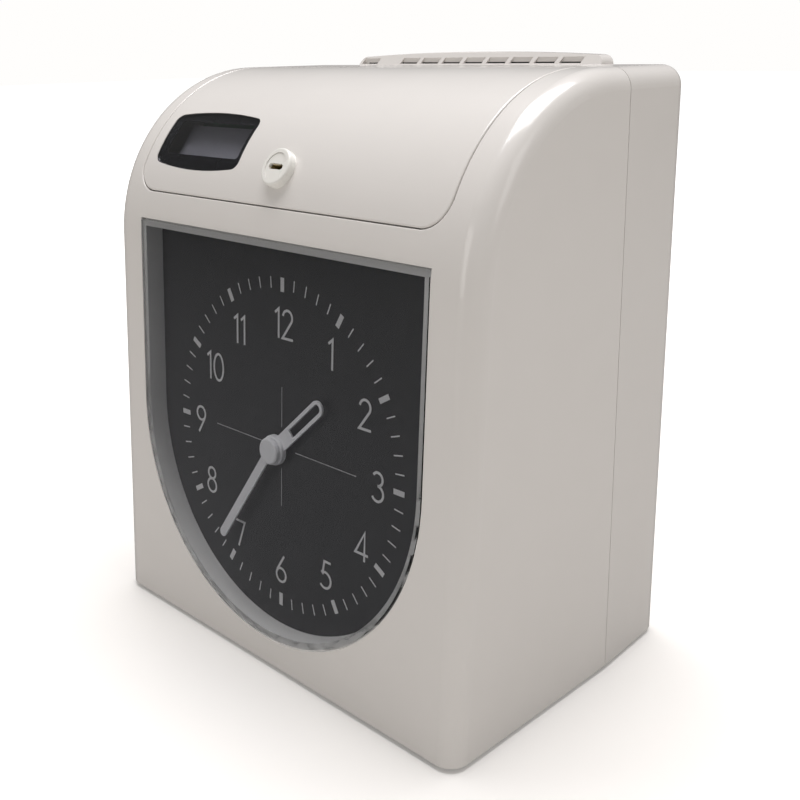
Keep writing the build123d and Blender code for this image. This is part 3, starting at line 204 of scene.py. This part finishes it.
# %% Group: mould texture
def build_mould_texture():
    tree, start, end = new_group(
        "mould_texture",
        {"Grain Scale": 2500.0, "Grain": 0.3, "Wave Scale": 60.0, "Wave": 0.4, "Depth": 0.00002},
        [("Normal", "NodeSocketVector"), ("Mask", "NodeSocketFloat")],
    )
    place = new_node(tree, "ShaderNodeTexCoord")
    grain = new_node(tree, "ShaderNodeTexNoise", Detail=3.0, Roughness=0.6)
    wave = new_node(tree, "ShaderNodeTexNoise", Detail=1.0, Roughness=0.4)
    for noise, scale in ((grain, "Grain Scale"), (wave, "Wave Scale")):
        tree.links.new(place.outputs["Object"], noise.inputs["Vector"])
        tree.links.new(start.outputs[scale], noise.inputs["Scale"])
    grain_share = new_node(tree, "ShaderNodeMath", operation="MULTIPLY")
    tree.links.new(grain.outputs["Fac"], grain_share.inputs[0])
    tree.links.new(start.outputs["Grain"], grain_share.inputs[1])
    height = new_node(tree, "ShaderNodeMath", operation="MULTIPLY_ADD")
    tree.links.new(wave.outputs["Fac"], height.inputs[0])
    tree.links.new(start.outputs["Wave"], height.inputs[1])
    tree.links.new(grain_share.outputs[0], height.inputs[2])
    bump = new_node(tree, "ShaderNodeBump", Strength=1.0)
    tree.links.new(height.outputs[0], bump.inputs["Height"])
    tree.links.new(start.outputs["Depth"], bump.inputs["Distance"])
    tree.links.new(bump.outputs["Normal"], end.inputs["Normal"])
    tree.links.new(wave.outputs["Fac"], end.inputs["Mask"])
    return tree


MOULD_TEXTURE = build_mould_texture()
print("group", MOULD_TEXTURE.name)


# %% [markdown]
# **Handling.** Fingers leave faint duller clouds on gloss, and cloths leave hair lines. Both only
# change how rough the surface is. The clouds are a stretched low noise, and the lines are a very
# stretched fine one, kept to where it is brightest.

# %% Group: handling marks
def build_handling():
    tree, start, end = new_group(
        "handling_marks",
        {"Scale": 25.0, "Clean": 0.2, "Dull": 0.3},
        [("Roughness", "NodeSocketFloat"), ("Mask", "NodeSocketFloat")],
    )
    place = new_node(tree, "ShaderNodeTexCoord")
    cloud = new_node(tree, "ShaderNodeTexNoise", Detail=4.0, Roughness=0.55)
    tree.links.new(place.outputs["Object"], cloud.inputs["Vector"])
    tree.links.new(start.outputs["Scale"], cloud.inputs["Scale"])
    stretch = new_node(tree, "ShaderNodeMapping")
    stretch.inputs["Scale"].default_value = (900.0, 60.0, 700.0)
    stretch.inputs["Rotation"].default_value = (0.3, 0.5, 0.9)
    tree.links.new(place.outputs["Object"], stretch.inputs["Vector"])
    hair = new_node(tree, "ShaderNodeTexNoise", Scale=1.0, Detail=2.0)
    tree.links.new(stretch.outputs[0], hair.inputs["Vector"])
    clouds = ramp_between(tree, cloud.outputs["Fac"], 0.42, 0.72)
    hairs = ramp_between(tree, hair.outputs["Fac"], 0.66, 0.80, 0.0, 0.6)
    mask = new_node(tree, "ShaderNodeMath", operation="MAXIMUM")
    tree.links.new(clouds, mask.inputs[0])
    tree.links.new(hairs, mask.inputs[1])
    mix = new_node(tree, "ShaderNodeMix", data_type="FLOAT")
    tree.links.new(mask.outputs[0], mix.inputs["Factor"])
    tree.links.new(start.outputs["Clean"], mix.inputs["A"])
    tree.links.new(start.outputs["Dull"], mix.inputs["B"])
    tree.links.new(mix.outputs["Result"], end.inputs["Roughness"])
    tree.links.new(mask.outputs[0], end.inputs["Mask"])
    return tree


HANDLING = build_handling()
print("group", HANDLING.name)


# %% [markdown]
# ## One way to make a finish
# Every finish below starts from the same few steps: a Principled shader, two close colours mixed
# by a broad noise, a handling group for roughness and a mould texture for the normal. What is the
# same all over a surface, such as its index of refraction, is set on the shader's own socket.

# %% The finish builder
def place_group(tree, group, **values):
    """A group placed in a material, with its own values."""
    node = tree.nodes.new("ShaderNodeGroup")
    node.node_tree = group
    for key, value in values.items():
        node.inputs[key.replace("_", " ").title()].default_value = value
    return node


def two_tone(tree, mask, first, second):
    """A colour between two, by a mask."""
    mix = new_node(tree, "ShaderNodeMix", data_type="RGBA")
    tree.links.new(mask, mix.inputs["Factor"])
    mix.inputs["A"].default_value = (*first, 1)
    mix.inputs["B"].default_value = (*second, 1)
    return mix.outputs["Result"]


def finish(name, light, dark, clean, dull, grain=0.3, wave=0.4, depth=0.02, **plain):
    """A solid finish. depth is the texture's height in millimetres, plain holds even shader values."""
    material = bpy.data.materials.new(name)
    material.use_nodes = True
    tree = material.node_tree
    shader = tree.nodes["Principled BSDF"]
    texture = place_group(tree, MOULD_TEXTURE, grain=grain, wave=wave, depth=depth * MM)
    touch = place_group(tree, HANDLING, clean=clean, dull=dull)
    colour = two_tone(tree, texture.outputs["Mask"], light, dark)
    tree.links.new(colour, shader.inputs["Base Color"])
    tree.links.new(touch.outputs["Roughness"], shader.inputs["Roughness"])
    tree.links.new(texture.outputs["Normal"], shader.inputs["Normal"])
    for socket, value in plain.items():
        shader.inputs[socket.replace("_", " ")].default_value = value
    return material


def dress(material, *names):
    """Give CAD parts a finish."""
    for name in names:
        nodes[name].data.materials.clear()
        nodes[name].data.materials.append(material)
    return material


# %% [markdown]
# ## Casing plastics
# The casing is glossy warm-white ABS from a polished mould. A thin coat over a slightly rougher
# body gives both the sharp highlights and the soft bloom beneath them.

# %% Casing, tray and lock finishes
WARM_WHITE = (0.73, 0.70, 0.67)
dress(
    finish("casing_abs", WARM_WHITE, (0.715, 0.686, 0.656), 0.23, 0.26, grain=0.04, wave=0.5, depth=0.02,
           IOR=1.53, Coat_Weight=0.35, Coat_Roughness=0.06),
    "front_housing", "rear_housing", "card_hood", "top_cover",
)
dress(finish("tray_abs", (0.90, 0.895, 0.885), (0.87, 0.865, 0.855), 0.30, 0.38, wave=0.5), "clock_tray")
dress(
    finish(
        "lock_plastic", (0.80, 0.785, 0.745), (0.77, 0.755, 0.71),
        0.24, 0.32, grain=0.1, IOR=1.52,
    ),
    "lock_body", "lock_face",
)
dress(
    finish(
        "base_plastic", (0.035, 0.035, 0.037), (0.05, 0.05, 0.05),
        0.48, 0.60, grain=1.0, depth=0.05,
    ),
    "base_plate", "power_inlet", "key_switches", "carriage", "ribbon_cassette",
)
print("casing finishes made")


# %% [markdown]
# ## Clear parts
# The lens is clear acrylic. Real light passes it and lights the dial, but a renderer's shadow rays
# stop at glass, so the material lets those rays through and keeps true glass for what is seen.
# The display window is the same plastic, smoked.

# %% Lens and smoked window
def clear_plastic(name, tint, shadow_tint, roughness):
    """Acrylic that is glass to the eye and lets light fall through."""
    material = bpy.data.materials.new(name)
    material.use_nodes = True
    tree = material.node_tree
    shader = tree.nodes["Principled BSDF"]
    shader.inputs["Transmission Weight"].default_value = 1.0
    shader.inputs["IOR"].default_value = 1.49
    touch = place_group(tree, HANDLING, scale=18.0, clean=roughness, dull=roughness + 0.03)
    tree.links.new(touch.outputs["Roughness"], shader.inputs["Roughness"])
    edge = tuple(v * 0.97 for v in tint)
    tree.links.new(two_tone(tree, touch.outputs["Mask"], tint, edge), shader.inputs["Base Color"])
    through = new_node(tree, "ShaderNodeBsdfTransparent")
    through.inputs["Color"].default_value = (*shadow_tint, 1)
    path = new_node(tree, "ShaderNodeLightPath")
    mix = new_node(tree, "ShaderNodeMixShader")
    tree.links.new(path.outputs["Is Shadow Ray"], mix.inputs["Fac"])
    tree.links.new(shader.outputs["BSDF"], mix.inputs[1])
    tree.links.new(through.outputs["BSDF"], mix.inputs[2])
    tree.links.new(mix.outputs["Shader"], tree.nodes["Material Output"].inputs["Surface"])
    return material


dress(clear_plastic("clear_acrylic", (0.985, 0.99, 0.995), (0.92, 0.92, 0.92), 0.01), "clock_lens")
dress(clear_plastic("smoked_acrylic", (0.55, 0.55, 0.58), (0.6, 0.6, 0.62), 0.03), "display_window")
print("clear finishes made")


# %% [markdown]
# ## Dial, hands and display
# The dial is a flat sheet with a matt black print, the hands are stamped and painted pale grey,
# and the display is a grey panel behind a black mask.

# %% Dial, hands and display finishes
dress(
    finish(
        "dial_black", (0.020, 0.020, 0.022), (0.024, 0.024, 0.026),
        0.52, 0.56, grain=0.0, wave=0.0, depth=0.0005,
    ),
    "dial_plate",
)
dress(
    finish(
        "hand_paint", (0.93, 0.93, 0.96), (0.91, 0.91, 0.94),
        0.34, 0.40, grain=0.1, depth=0.001,
    ),
    "hour_hand", "minute_hand",
)
dress(finish("mask_print", (0.010, 0.010, 0.012), (0.014, 0.014, 0.016), 0.25, 0.35), "display_mask")
dress(
    finish("display_grey", (0.62, 0.62, 0.64), (0.56, 0.56, 0.58), 0.22, 0.30, grain=0.1, wave=0.2),
    "lcd_panel",
)
INK = finish("dial_ink", (0.82, 0.82, 0.83), (0.78, 0.78, 0.79), 0.5, 0.58, grain=0.4, depth=0.002)
FINE_INK = finish("fine_ink", (0.50, 0.50, 0.51), (0.46, 0.46, 0.47), 0.5, 0.58, grain=0.4, depth=0.002)
print("dial finishes made")


# %% [markdown]
# ## Metals
# Zinc-plated steel has a soft cloudy lustre, galvanised sheet shows spangle, and brass is warm and
# finely turned. All are metallic, with the handling group moving their roughness.

# %% Metal finishes
dress(
    finish(
        "zinc_plate", (0.66, 0.66, 0.64), (0.58, 0.58, 0.57),
        0.26, 0.40, grain=0.4, depth=0.006, Metallic=1.0,
    ),
    "case_screws", "hinge_pins", "guide_rods", "feed_shaft", "tie_bars", "drive_brackets", "lock_cam",
)
dress(
    finish(
        "brass", (0.83, 0.72, 0.46), (0.72, 0.60, 0.34),
        0.34, 0.48, grain=0.6, depth=0.006, Metallic=1.0,
    ),
    "lock_plug", "cannon_pinion", "motor_pinion",
)
dress(
    finish(
        "motor_can", (0.50, 0.50, 0.51), (0.42, 0.42, 0.43),
        0.30, 0.45, grain=0.3, depth=0.006, Metallic=1.0,
    ),
    "carriage_motor", "feed_motor", "print_head",
)


def galvanised():
    """Sheet steel with the flower-like spangle of hot zinc."""
    material = finish("galvanised_sheet", (0.5, 0.5, 0.5), (0.5, 0.5, 0.5), 0.30, 0.42, Metallic=1.0)
    tree = material.node_tree
    place = new_node(tree, "ShaderNodeTexCoord")
    spangle = new_node(tree, "ShaderNodeTexVoronoi", Scale=140.0)
    tree.links.new(place.outputs["Object"], spangle.inputs["Vector"])
    shade = new_node(tree, "ShaderNodeSeparateColor")
    tree.links.new(spangle.outputs["Color"], shade.inputs[0])
    colour = two_tone(tree, shade.outputs[0], (0.62, 0.63, 0.64), (0.47, 0.48, 0.50))
    tree.links.new(colour, tree.nodes["Principled BSDF"].inputs["Base Color"])
    return material


dress(galvanised(), "side_plates", "chute_front", "chute_back")
print("metal finishes made")


# %% [markdown]
# ## Rubber, gears and the rest of the inside

# %% Inner finishes
dress(
    finish(
        "soft_rubber", (0.020, 0.020, 0.020), (0.032, 0.031, 0.030),
        0.70, 0.85, grain=1.0, depth=0.05,
    ),
    "rubber_feet", "feed_rollers", "pinch_rollers", "drive_belt", "platen",
)
dress(
    finish("acetal", (0.74, 0.72, 0.66), (0.70, 0.68, 0.61), 0.32, 0.42, grain=0.3),
    "hour_wheel", "minute_wheel", "feed_gear", "drive_pulley", "idler_pulley",
)
dress(
    finish(
        "movement_plastic", (0.045, 0.045, 0.05), (0.06, 0.06, 0.065),
        0.40, 0.5, grain=0.9, depth=0.03,
    ),
    "movement_case", "movement_back", "set_knob", "ribbon_knob", "speaker",
)
dress(finish("key_plastic", (0.30, 0.31, 0.33), (0.27, 0.28, 0.30), 0.40, 0.5, grain=0.8), *[
    name for name in nodes if name.startswith("key_") and name != "key_switches"
])
dress(
    finish("ink_ribbon", (0.030, 0.015, 0.055), (0.05, 0.03, 0.08), 0.75, 0.85, grain=1.0),
    "ink_ribbon",
)
dress(
    finish("coil_tape", (0.62, 0.45, 0.07), (0.55, 0.38, 0.05), 0.30, 0.40, grain=0.2),
    "transformer_coil",
)
dress(finish("cell_wrap", (0.05, 0.16, 0.38), (0.04, 0.13, 0.32), 0.22, 0.34, grain=0.1), "battery_pack")
dress(finish("component_black", (0.03, 0.03, 0.03), (0.045, 0.045, 0.045), 0.4, 0.5), "board_components")


def laminations():
    """Thin steel sheets, stacked and varnished, seen edge on as fine lines."""
    material = finish("laminations", (0.2, 0.2, 0.2), (0.2, 0.2, 0.2), 0.35, 0.5, Metallic=0.8)
    tree = material.node_tree
    place = new_node(tree, "ShaderNodeTexCoord")
    sheets = new_node(tree, "ShaderNodeTexWave", Scale=300.0, Distortion=0.0, bands_direction="Y")
    tree.links.new(place.outputs["Object"], sheets.inputs["Vector"])
    colour = two_tone(tree, sheets.outputs["Fac"], (0.30, 0.30, 0.31), (0.10, 0.09, 0.09))
    tree.links.new(colour, tree.nodes["Principled BSDF"].inputs["Base Color"])
    return material


def solder_mask():
    """A green board: copper runs under the mask show as a paler green maze."""
    material = finish("solder_mask", (0.0, 0.1, 0.05), (0.0, 0.1, 0.05), 0.22, 0.32, grain=0.1)
    tree = material.node_tree
    place = new_node(tree, "ShaderNodeTexCoord")
    runs = new_node(tree, "ShaderNodeTexVoronoi", Scale=110.0, distance="MANHATTAN", feature="F1")
    tree.links.new(place.outputs["Object"], runs.inputs["Vector"])
    lines = ramp_between(tree, runs.outputs["Distance"], 0.42, 0.50)
    colour = two_tone(tree, lines, (0.008, 0.085, 0.030), (0.02, 0.17, 0.06))
    tree.links.new(colour, tree.nodes["Principled BSDF"].inputs["Base Color"])
    return material


dress(laminations(), "transformer_core")
dress(solder_mask(), "display_board", "main_board")


def paper():
    """Matt paper that glows to the camera as painted light, faintly near the machine and strongly
    further out, and darker to a reflected ray than to a direct one.
    """
    material = finish(
        "paper_floor", (0.84, 0.815, 0.785), (0.835, 0.81, 0.78), 0.8, 0.9, grain=0.0, wave=0.0
    )
    tree = material.node_tree
    shader = tree.nodes["Principled BSDF"]
    shader.inputs["Specular IOR Level"].default_value = 0.1
    bright = shader.inputs["Base Color"].links[0].from_socket
    path = new_node(tree, "ShaderNodeLightPath")
    mix = new_node(tree, "ShaderNodeMix", data_type="RGBA")
    tree.links.new(path.outputs["Is Glossy Ray"], mix.inputs["Factor"])
    tree.links.new(bright, mix.inputs["A"])
    mix.inputs["B"].default_value = (0.13, 0.13, 0.135, 1)
    tree.links.new(mix.outputs["Result"], shader.inputs["Base Color"])
    # Painted light: the paper glows for camera rays only, more with distance from the machine.
    place = new_node(tree, "ShaderNodeTexCoord")
    reach = new_node(tree, "ShaderNodeVectorMath", operation="LENGTH")
    tree.links.new(place.outputs["Object"], reach.inputs[0])
    painted_glow_ramp = ramp_between(tree, reach.outputs["Value"], 0.2, 1.6, 0.14, 0.9)
    painted_camera_glow = new_node(tree, "ShaderNodeMath", operation="MULTIPLY")
    tree.links.new(painted_glow_ramp, painted_camera_glow.inputs[0])
    tree.links.new(path.outputs["Is Camera Ray"], painted_camera_glow.inputs[1])
    shader.inputs["Emission Color"].default_value = (1, 1, 1, 1)
    tree.links.new(painted_camera_glow.outputs[0], shader.inputs["Emission Strength"])
    return material


floor_mesh.materials.append(paper())
print("inner finishes made")


# %% [markdown]
# ## The dial's print
# The dial is screen printed in pale ink. An image or a stencil could carry the print, but every mark
# is only a short ribbon. A ribbon follows a line of points at a set width and stands a twentieth of
# a millimetre proud, as a heavy ink does. Sixty ticks are one loop, and the figures are built from
# arcs and straight strokes, like the geometric sans-serif figures on the real dial.

# %% The dial's own axes
def joint(name):
    """A joint of the frame's record."""
    return next(j for j in frame["joints"] if j["name"] == name)


clock_joint = joint("minute_hand_turn")
dial_out = Vector(clock_joint["axis"]).normalized()
dial_right = Vector((1, 0, 0))
dial_up = dial_out.cross(dial_right)
hub = Vector(clock_joint["pos_m"])
dial_level = max((v.co - hub).dot(dial_out) for v in nodes["dial_plate"].data.vertices)
dial_centre = hub + dial_out * dial_level
print("dial surface", round(dial_level / MM, 2), "mm from the face")


def on_dial(x, y, lift):
    """A point on the dial, from its centre, in millimetres, lifted off its surface."""
    return dial_centre + (dial_right * x + dial_up * y + dial_out * lift) * MM


# %% Ribbons of ink
INK_THICK = 0.05


def ribbon(mesh, line, width):
    """A flat raised stroke along a line of points, closed where its ends meet."""
    closed = hypot(line[0][0] - line[-1][0], line[0][1] - line[-1][1]) < 1e-6
    points = [Vector((*p, 0)) for p in (line[:-1] if closed else line)]
    count = len(points)
    rings = []
    for i, point in enumerate(points):
        before = points[i - 1] if closed or i else point
        after = points[(i + 1) % count] if closed or i + 1 < count else point
        into = (point - before).normalized() if before != point else (after - point).normalized()
        out = (after - point).normalized() if after != point else into
        along = (into + out).normalized()
        across = Vector((-along.y, along.x, 0)) / max(along.dot(into), 0.45)
        sides = (point + across * width / 2, point - across * width / 2)
        ring = [mesh.verts.new(on_dial(s.x, s.y, h)) for s in sides for h in (0.0, INK_THICK)]
        rings.append(ring)
    pairs = list(zip(rings, rings[1:])) + ([(rings[-1], rings[0])] if closed else [])
    for a, b in pairs:
        mesh.faces.new((a[1], a[3], b[3], b[1]))
        mesh.faces.new((a[0], a[1], b[1], b[0]))
        mesh.faces.new((a[3], a[2], b[2], b[3]))
        mesh.faces.new((a[2], a[0], b[0], b[2]))
    if not closed:
        first, last = rings[0], rings[-1]
        mesh.faces.new((first[0], first[2], first[3], first[1]))
        mesh.faces.new((last[0], last[1], last[3], last[2]))


def finish_print(name, mesh, ink):
    """Turn a print's mesh into a piece on the casing."""
    bmesh.ops.recalc_face_normals(mesh, faces=mesh.faces)
    data = bpy.data.meshes.new(name)
    mesh.to_mesh(data)
    mesh.free()
    data.materials.append(ink)
    piece = link(bpy.data.objects.new(name, data))
    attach(piece, "root")
    print(name, len(data.polygons), "faces")


# %% Minute and hour marks, and the fine cross
TICK_OUTER = 67.2
HOUR_TICK = (5.4, 2.1)
MINUTE_TICK = (4.4, 0.5)
CROSS_STROKE = 0.34


def spoke(angle, inner, outer):
    """A straight line out from the dial's centre, clockwise from twelve."""
    a = radians(angle)
    return [(r * sin(a), r * cos(a)) for r in (inner, outer)]


marks = bmesh.new()
for minute in range(60):
    length, width = HOUR_TICK if minute % 5 == 0 else MINUTE_TICK
    ribbon(marks, spoke(minute * 6, TICK_OUTER - length, TICK_OUTER), width)
finish_print("dial_marks", marks, INK)

cross = bmesh.new()
for angle, inner, outer in ((0, 8.5, 24.6), (180, 8.5, 24.2), (90, 8.3, 42.5), (270, 8.3, 42.5)):
    ribbon(cross, spoke(angle, inner, outer), CROSS_STROKE)
finish_print("dial_cross", cross, FINE_INK)


# %% Figures from arcs and strokes
def arc(x, y, radius, start, end, squash=1.0):
    """Points along an arc, in degrees, in a figure one unit tall."""
    steps = max(4, int(abs(end - start) / 9))
    angles = [radians(start + (end - start) * i / steps) for i in range(steps + 1)]
    return [(x + radius * squash * cos(a), y + radius * sin(a)) for a in angles]


SIX = [[(0.43, 1.0), (0.075, 0.44)] + arc(0.28, 0.27, 0.25, 145, 505)]
FIGURES = {
    "0": (0.60, [arc(0.30, 0.5, 0.48, 0, 360, squash=0.56)]),
    "1": (0.26, [[(0.02, 0.84), (0.21, 0.985), (0.21, 0.0)]]),
    "2": (0.56, [arc(0.27, 0.74, 0.235, 172, -38) + [(0.02, 0.03), (0.55, 0.03)]]),
    "3": (0.52, [arc(0.24, 0.755, 0.215, 150, -90), arc(0.24, 0.285, 0.255, 90, -150)]),
    "4": (0.62, [[(0.62, 0.24), (0.03, 0.24), (0.45, 0.985), (0.45, 0.0)]]),
    "5": (0.54, [[(0.50, 0.975), (0.19, 0.975), (0.11, 0.55)] + arc(0.23, 0.31, 0.285, 118, -140)]),
    "6": (0.56, SIX),
    "7": (0.54, [[(0.02, 0.975), (0.53, 0.975), (0.18, 0.0)]]),
    "8": (0.56, [arc(0.28, 0.75, 0.21, 0, 360), arc(0.28, 0.275, 0.255, 0, 360)]),
    "9": (0.56, [[(0.56 - x, 1.0 - y) for x, y in line] for line in SIX]),
}
FIGURE_TALL = 11.6
FIGURE_STROKE = 1.0
FIGURE_GAP = 0.13
RING_REACH = 57.0
RING_RISE = 50.4
RING_DROP = 0.9
FIGURE_NUDGE = {"12": 1.0, "10": 1.2}

figures = bmesh.new()
for hour in range(1, 13):
    word = str(hour)
    wide = (sum(FIGURES[c][0] for c in word) + FIGURE_GAP * (len(word) - 1)) * FIGURE_TALL
    a = radians(hour * 30)
    left = (RING_REACH - wide / 2) * sin(a) - wide / 2 + FIGURE_NUDGE.get(word, 0.0)
    low = RING_RISE * cos(a) - RING_DROP - FIGURE_TALL / 2
    for c in word:
        figure_wide, lines = FIGURES[c]
        for line in lines:
            points = [(left + x * FIGURE_TALL, low + y * FIGURE_TALL) for x, y in line]
            ribbon(figures, points, FIGURE_STROKE)
        left += (figure_wide + FIGURE_GAP) * FIGURE_TALL
finish_print("dial_figures", figures, INK)


# %% [markdown]
# ## The gauze under the hood
# A thin strip of plain black stands across the vent under the hood: a dark sheet put in the hollow as
# painted shade, so that the hollow reads dark. The hood's slots are too shallow to reach the hollow
# where it stands, so it is hidden from outside.

# %% Vent shade sheet
SHADE_SHEET_BEHIND = 3.9
SHADE_SHEET_THICK = 0.3
SHADE_SHEET_RISE = 2.0
SHADE_SHEET_DROP = 1.0
SHADE_SHEET_END = 5.5


def block(name, low, high, material):
    """A plain box between two corners, fixed to the casing."""
    mesh = bmesh.new()
    bmesh.ops.create_cube(mesh, size=1.0)
    for vertex in mesh.verts:
        vertex.co = Vector([a + (b - a) * (c + 0.5) for a, b, c in zip(low, high, vertex.co)])
    data = bpy.data.meshes.new(name)
    mesh.to_mesh(data)
    mesh.free()
    data.materials.append(material)
    piece = link(bpy.data.objects.new(name, data))
    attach(piece, "root")
    print(name, "made")


hood = [v.co for v in nodes["card_hood"].data.vertices]
hood_low = [min(v[k] for v in hood) for k in range(3)]
hood_high = [max(v[k] for v in hood) for k in range(3)]
casing_top = max(v.co.z for v in nodes["rear_housing"].data.vertices)
shade_sheet_y = hood_high[1] - SHADE_SHEET_BEHIND * MM
# Painted shade: a black strip in the hood's hollow stands in for the shade there.
SHADE_SHEET = finish("painted_shade_black", (0.012, 0.012, 0.012), (0.02, 0.02, 0.02), 0.85, 0.95, grain=1.0)
block(
    "vent_shade_sheet",
    (hood_low[0] + SHADE_SHEET_END * MM, shade_sheet_y, casing_top - SHADE_SHEET_DROP * MM),
    (hood_high[0] - SHADE_SHEET_END * MM, shade_sheet_y + SHADE_SHEET_THICK * MM, casing_top + SHADE_SHEET_RISE * MM),
    SHADE_SHEET,
)
